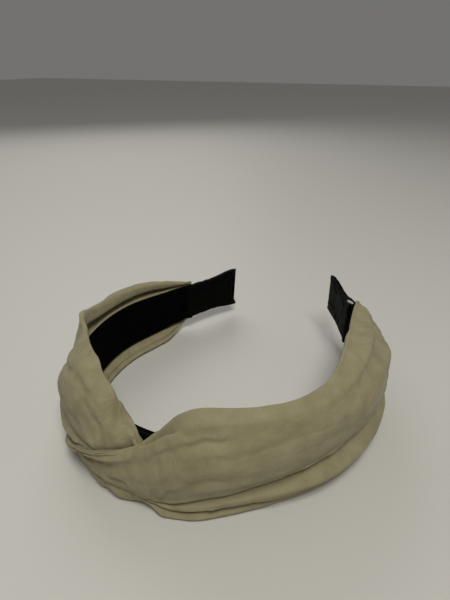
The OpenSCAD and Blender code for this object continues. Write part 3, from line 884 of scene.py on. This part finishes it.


# ---------------------------------------------------------------------------------------------
# End sleeves, their seams and a light, glossy bead
# ---------------------------------------------------------------------------------------------

SLEEVE_MIDDLE = 1.25       # offset of the sleeves' middle
SEAM_INSET = 1.7           # stations from a sleeve's closed end to its stitches
STITCHES = 11              # stitches across one face
STITCH_RADIUS = 0.19       # of the thread at the middle of a stitch


def sleeve_grid(sign, seed, flare, swell):
    """Rings round a satin pocket, and the cloth's coordinates on them.

    It widens by flare to pillow corners at its closed end, and by swell above the band at its open end.
    """
    base = np.linspace(SLEEVE_START, SLEEVE_END, 84)[:, None]
    angle = np.linspace(0, 2 * math.pi, 96, endpoint=False)[None]
    from_end = (SLEEVE_END - base) * MM_PER_STATION
    half_o = 1.85 - 1.15 * ease(1 - from_end / 3.4) - 0.4 * ease(1 - from_end / 0.6)
    half_z = (LINING_Z1 - LINING_Z0) / 2 + 0.5 + flare * ease(1 - from_end / 19.0) ** 1.3
    c, s = np.cos(angle), np.sin(angle)
    spread_o, spread_z = np.sign(c) * np.abs(c) ** 0.22, np.sign(s) * np.abs(s) ** 0.42
    slide = (np.abs(spread_z) ** 3 - 0.55) * 2.6 * ease(1 - from_end / 7.0)
    u = base + slide / MM_PER_STATION
    along = base * MM_PER_STATION * np.ones_like(u)
    o = SLEEVE_MIDDLE + half_o * spread_o * np.ones_like(u)
    z = LINING_MIDDLE + half_z * spread_z
    # Ripples over both faces, and gathers near the seam
    face = np.sign(o - SLEEVE_MIDDLE)
    ripple = soft_noise(along / 5.0 + z / 9.0, z / 2.6 + face * 5, seed) * 0.40
    ripple += soft_noise(along / 2.1 - z / 4.0, z / 1.8 + face * 5, seed + 1) * 0.16
    gathers = soft_noise(along / 12.0, z / 1.3 + face * 9, seed + 2) * 0.38 * ease(1 - from_end / 8.0)
    inside = ease((half_z - np.abs(z - LINING_MIDDLE)) / 1.5) * ease(from_end / 1.0)
    o = o + face * (ripple + gathers) * inside
    clear_of_band = np.where(face > 0, np.maximum(o, 2.72), np.minimum(o, -0.14))
    o = mix(o, clear_of_band, ease(from_end / 3.0) * (np.abs(spread_o) > 0.5))
    # The open end stands up at its top, and the edges are slightly uneven
    z = z + swell * ease(1 - (base - SLEEVE_START) / 16) * np.maximum(spread_z, 0)
    z = z + soft_noise(along / 2.3, face * 7 + np.sign(s) * 3.3, seed + 3) * 0.30 * np.abs(spread_z) ** 4
    return place(sign * u, o, band_z(sign * u, z)), along, z


def make_sleeve(sign, **shape):
    side = side_of(sign)
    rings, along, z = sleeve_grid(sign, **shape)
    obj = tube(f"{side}_end_sleeve_satin", rings, SATIN)
    add_cloth_coordinates(obj, along, z)
    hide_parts(f"{side}_end_sleeve")
    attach(obj, f"{side}_arm")


def stitch(station, face, z0, length):
    """Rings of one short stitch that goes up from height z0 and arches out of a sleeve's face."""
    f = np.linspace(0, 1, 7)[:, None]
    turn = np.linspace(0, 2 * math.pi, 8, endpoint=False)
    arch = np.sin(math.pi * f)
    radius = STITCH_RADIUS * (0.35 + 0.65 * np.sqrt(np.maximum(arch, 0)))
    return place(station + np.cos(turn) * radius / MM_PER_STATION,
                 SLEEVE_MIDDLE + face * (1.28 + 0.16 * arch) + np.sin(turn) * radius,
                 band_z(station, z0 + f * length))


def make_sleeve_seam(sign):
    """A row of short stitches across the outer and the inner face, just in from the closed end."""
    side = side_of(sign)
    pitch = (LINING_Z1 - LINING_Z0 - 0.5) / STITCHES
    station = sign * (SLEEVE_END - SEAM_INSET)
    stitches = np.array([stitch(station, face, LINING_Z0 + 0.6 + i * pitch, pitch * 0.72)
                         for face in (1, -1) for i in range(STITCHES)])
    count, rows, columns = stitches.shape[:3]
    faces = []
    for i in range(count):
        faces += tube_faces(rows, columns, first=i * rows * columns)
    obj = outward(new_object(f"{side}_sleeve_stitches", stitches.reshape(-1, 3), faces, BLACK_THREAD))
    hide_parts(f"{side}_sleeve_seam")
    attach(obj, f"{side}_arm")


def make_cuff_bead():
    """A light, glossy bead on the inner side of the right sleeve, by the top corner of the cover's end."""
    start, end = (140.6, -0.5, 39.9), (135.4, 0.5, 41.1)     # station, offset and height
    f = np.linspace(0, 1, 13)[:, None]
    turn = np.linspace(0, 2 * math.pi, 14, endpoint=False)
    radius = 0.8 * np.sin(math.pi * (0.04 + 0.92 * f)) ** 0.6 * (1 + 0.18 * np.sin(9 * f))
    u, o, z = (mix(a, b, f) for a, b in zip(start, end))
    rings = place(u, o + radius * np.cos(turn), z + radius * 0.9 * np.sin(turn))
    bead = tube("right_cuff_bead", rings, GLUE)
    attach(bead, "right_arm")


def make_ends():
    make_cuff_bead()
    make_sleeve(-1, seed=41, flare=2.5, swell=0)
    make_sleeve_seam(-1)
    make_sleeve(1, seed=57, flare=0.4, swell=4.4)
    make_sleeve_seam(1)


def finish_cad_nodes():
    """Hidden threads and glue keep their CAD shape and get a real material."""
    looks = {BLACK_THREAD: ("left_gather_thread", "right_gather_thread", "knot_tie_thread"),
             GLUE: ("left_glue_pad", "right_glue_pad", "knot_glue_pad")}
    for look, names in looks.items():
        for name in names:
            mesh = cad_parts[name].data
            mesh.materials.clear()
            mesh.materials.append(look)


# ---------------------------------------------------------------------------------------------
# Camera, floor and light
# ---------------------------------------------------------------------------------------------

CAMERA_AT = (0.0770, -0.1703, 0.150)
CAMERA_HEADING = (-0.415, 0.910)       # direction of view over the floor
CAMERA_DOWN = math.radians(27.6)       # how far the view points down
LENS = 27.9                            # on a sensor 36 mm wide
FLOOR_HALF = 3.0                       # metres


def make_camera():
    data = bpy.data.cameras.new("camera")
    data.lens = LENS
    data.sensor_width = 36
    data.clip_start = 0.005
    camera = bpy.data.objects.new("camera", data)
    camera.location = CAMERA_AT
    x, y = CAMERA_HEADING
    view = Vector((x * math.cos(CAMERA_DOWN), y * math.cos(CAMERA_DOWN), -math.sin(CAMERA_DOWN)))
    camera.rotation_euler = view.to_track_quat("-Z", "Y").to_euler()
    bpy.context.scene.collection.objects.link(camera)
    bpy.context.scene.camera = camera


def make_floor():
    paint = material("floor_paint", (0.66, 0.645, 0.61), 0.5)
    r = FLOOR_HALF
    floor = new_object("floor", [(-r, -r, 0), (r, -r, 0), (r, r, 0), (-r, r, 0)], [(0, 1, 2, 3)], paint)


def area_light(name, where, width, power, colour):
    """A square soft box that points at the origin."""
    light = bpy.data.lights.new(name, "AREA")
    light.size = width
    light.energy = power
    light.color = colour
    obj = bpy.data.objects.new(name, light)
    obj.location = where
    obj.rotation_euler = (-Vector(where)).to_track_quat("-Z", "Y").to_euler()
    bpy.context.scene.collection.objects.link(obj)


def make_lights():
    area_light("key", (0.24, -0.34, 0.78), 0.30, 4.0, (1.0, 0.985, 0.93))
    area_light("back", (-0.50, 0.55, 0.55), 0.70, 2.0, (1.0, 0.985, 0.95))
    world = bpy.data.worlds.new("studio")
    world.use_nodes = True
    background = world.node_tree.nodes["Background"]
    background.inputs["Color"].default_value = (1.0, 0.985, 0.95, 1)
    background.inputs["Strength"].default_value = 0.17
    bpy.context.scene.world = world
    bpy.context.scene.view_settings.view_transform = "Standard"


make_camera()
make_floor()
make_lights()
make_band()
make_covers()
make_ends()
finish_cad_nodes()
